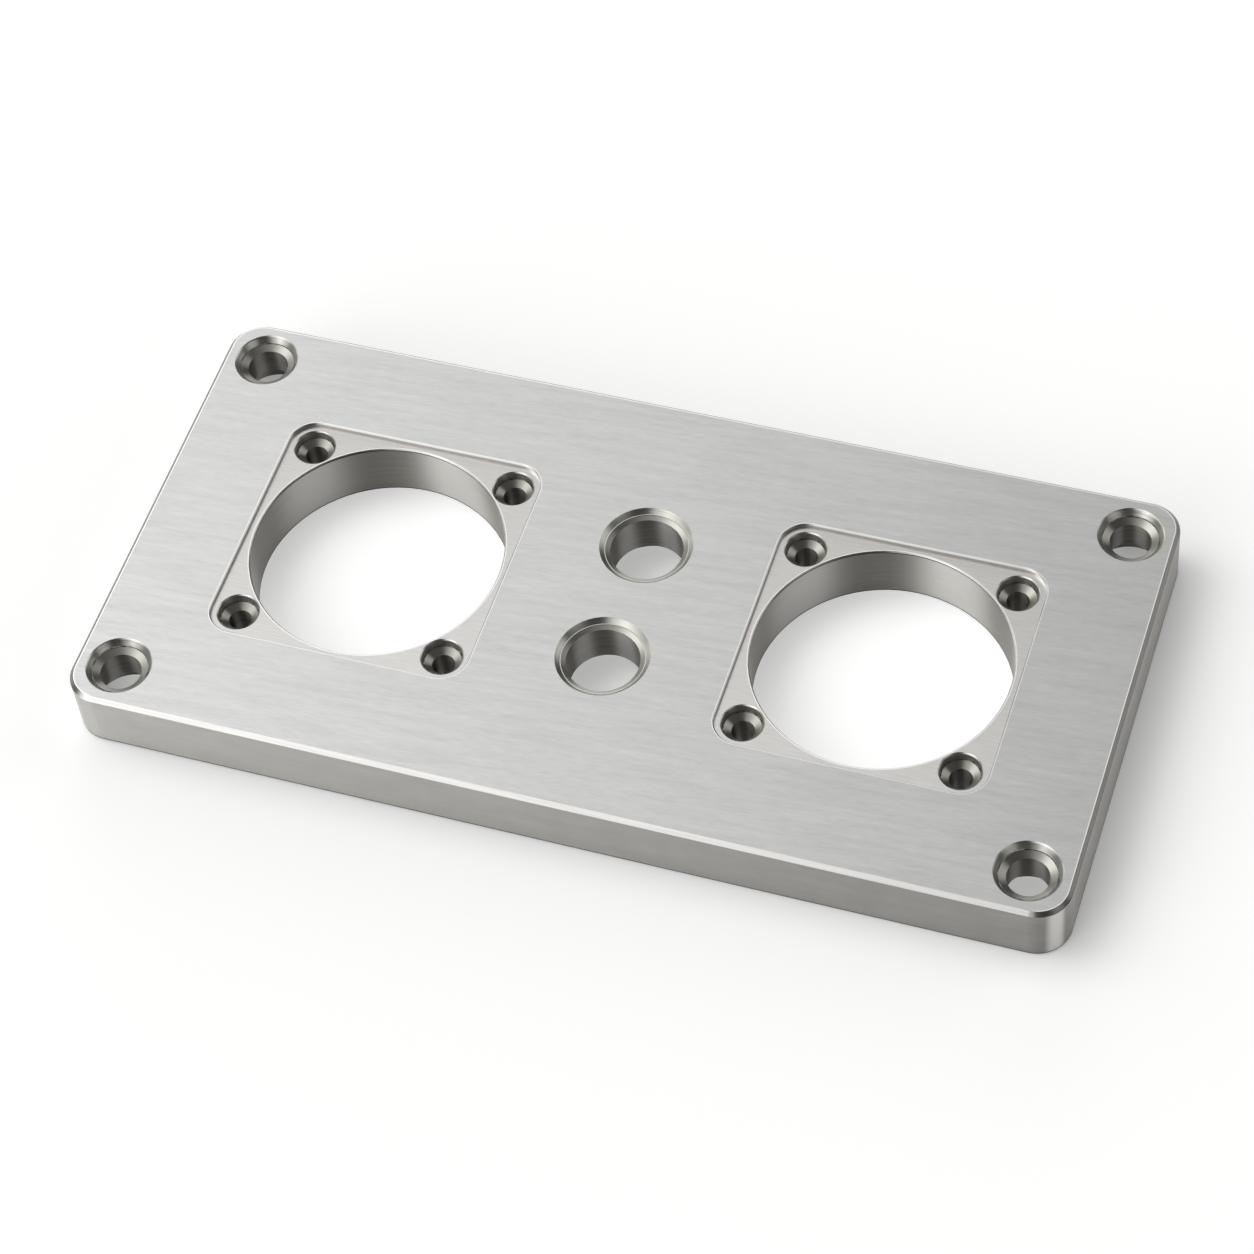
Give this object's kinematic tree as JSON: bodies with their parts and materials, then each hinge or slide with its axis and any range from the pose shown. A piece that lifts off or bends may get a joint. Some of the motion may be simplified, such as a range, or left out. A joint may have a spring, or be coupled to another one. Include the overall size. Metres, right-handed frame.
{
  "type": "connector panel",
  "caption": "Thick rectangular metal plate that seats flanged connectors in recessed round ports, with gland holes between them and a countersunk fixing hole in each corner.",
  "frame": {"origin": "under the middle of the plate, on the flat underside that it rests on", "axes": "+X along the long edges through both ports, +Y across the plate through the gland holes, +Z out of the recessed top face"},
  "size_m": [0.22, 0.108, 0.015],
  "materials": {
    "brushed_plate": "fine straight brushed grain on the faces, turned finish in the holes, bright chamfers"
  },
  "bodies": {
    "root": {"panel": "brushed_plate"}
  },
  "joints": []
}
